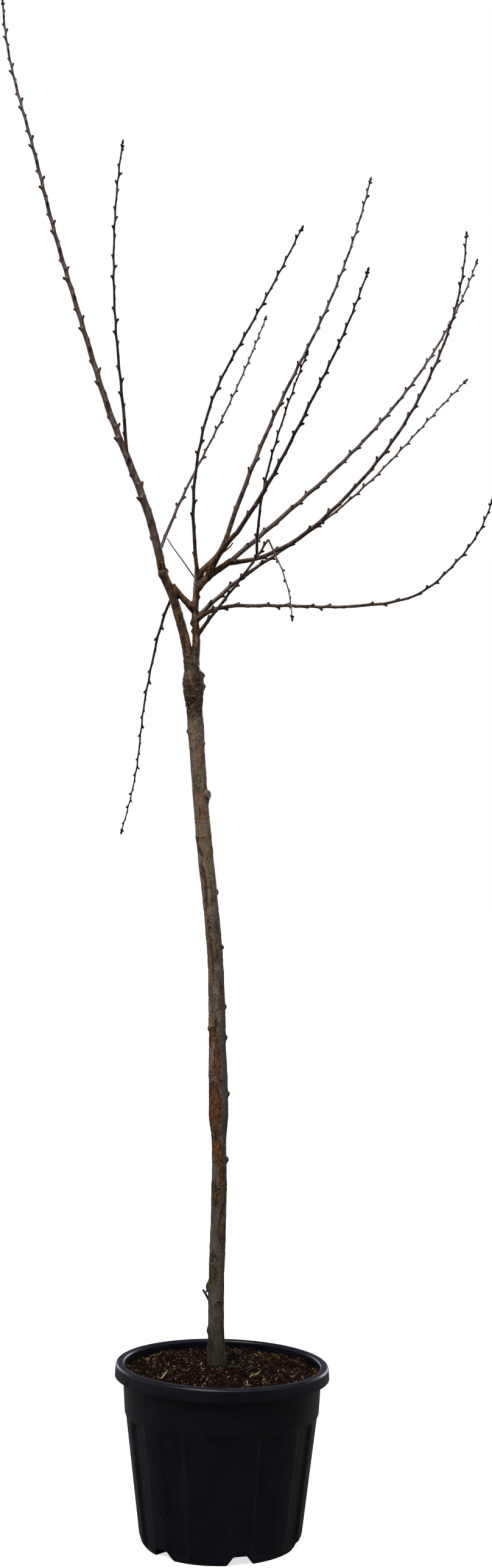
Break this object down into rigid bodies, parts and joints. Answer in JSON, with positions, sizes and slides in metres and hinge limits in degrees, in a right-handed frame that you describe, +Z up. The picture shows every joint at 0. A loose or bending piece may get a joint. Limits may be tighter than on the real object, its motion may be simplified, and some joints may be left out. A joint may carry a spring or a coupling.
{
  "type": "potted standard tree",
  "caption": "Young bare deciduous standard tree, grafted high on a slim clear trunk, with long budded shoots, standing in a soil-filled black nursery pot.",
  "frame": {"origin": "centre of the pot's flat underside, on the pot's axis at its foot", "axes": "+Z up the trunk, +X to the tree's right as seen from the front, +Y to its back"},
  "size_m": [0.6737, 0.5876, 2.0815],
  "materials": {
    "pot_plastic": "satin black moulded polypropylene",
    "peat": "loose dark peat and bark compost",
    "trunk_bark": "grey-brown bark with peeled orange-brown patches",
    "bough_bark": "brown bark with pale dots",
    "shoot_bark": "smooth red-brown one-year bark with buds",
    "dead_wood": "weathered grey dead wood"
  },
  "bodies": {
    "root": {"pot": "pot_plastic", "potting_soil": "peat", "trunk": "trunk_bark", "left_bough": "bough_bark", "centre_bough": "bough_bark", "link_bough": "bough_bark", "right_bough": "bough_bark", "front_bough": "bough_bark", "back_bough": "bough_bark", "leader_shoot": "shoot_bark", "left_inner_shoot": "shoot_bark", "left_cross_shoot": "shoot_bark", "front_upright_shoot": "shoot_bark", "tall_right_shoot": "shoot_bark", "front_right_shoot": "shoot_bark", "outer_right_shoot": "shoot_bark", "wide_right_shoot": "shoot_bark", "short_right_shoot": "shoot_bark", "low_right_shoot": "shoot_bark", "level_shoot": "shoot_bark", "level_shoot_tip": "shoot_bark", "drooping_shoot": "shoot_bark", "drooping_shoot_tip": "shoot_bark", "hanging_shoot": "shoot_bark", "dead_twig": "dead_wood", "dead_spur": "dead_wood"}
  },
  "joints": []
}
